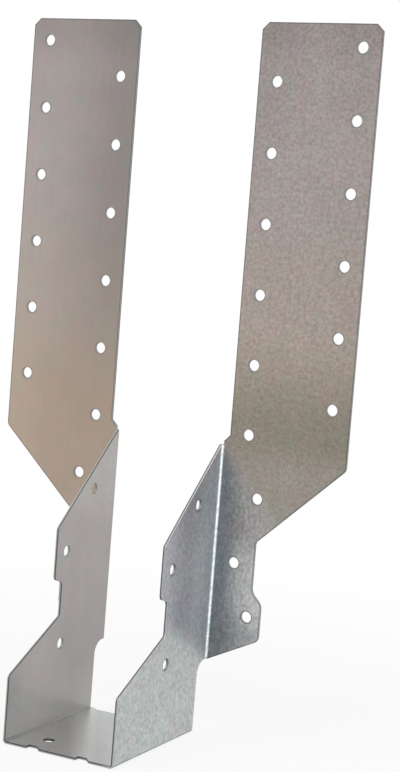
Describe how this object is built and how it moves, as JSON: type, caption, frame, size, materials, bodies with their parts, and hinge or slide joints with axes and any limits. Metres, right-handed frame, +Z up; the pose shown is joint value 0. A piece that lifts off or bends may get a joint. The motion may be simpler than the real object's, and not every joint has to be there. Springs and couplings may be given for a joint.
{
  "type": "joist hanger",
  "caption": "Long-legged joist hanger folded from galvanised sheet, with a seat, shaped side plates and tall nailing straps for the header.",
  "frame": {"origin": "centre of the seat's bearing face, half way along the seat and half way between the side plates", "axes": "+Z up along the straps, +Y towards the header that the flanges lie against, +X across the joist to its right as seen from the front"},
  "size_m": [0.157, 0.072, 0.285],
  "materials": {
    "galvanised_steel": "pre-galvanised sheet, dull zinc with a fine mottle"
  },
  "bodies": {
    "root": {"joist_hanger": "galvanised_steel"}
  },
  "joints": []
}
